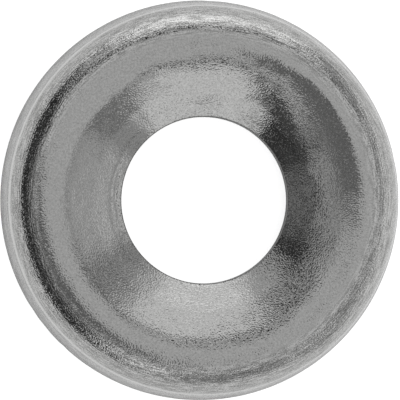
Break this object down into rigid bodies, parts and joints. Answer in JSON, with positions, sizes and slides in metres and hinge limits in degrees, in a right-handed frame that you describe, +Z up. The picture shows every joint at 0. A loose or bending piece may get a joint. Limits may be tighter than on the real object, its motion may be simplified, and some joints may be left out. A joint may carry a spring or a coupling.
{
  "type": "countersunk cup washer",
  "caption": "Pressed sheet-metal cup washer: leaning skirt, round shoulder and bell-mouthed countersink that seats a countersunk screw head above the surface.",
  "frame": {"origin": "on the washer's axis at its base plane, where the skirt's edge rests", "axes": "+Z up the axis, from the base plane to the crest; X and Y across the washer, which is the same all the way round"},
  "size_m": [0.015, 0.015, 0.0028],
  "materials": {
    "washer_steel": "pressed and tumbled stainless or nickel-plated steel, satin with fine orange peel"
  },
  "bodies": {
    "root": {"cup_washer": "washer_steel"}
  },
  "joints": []
}
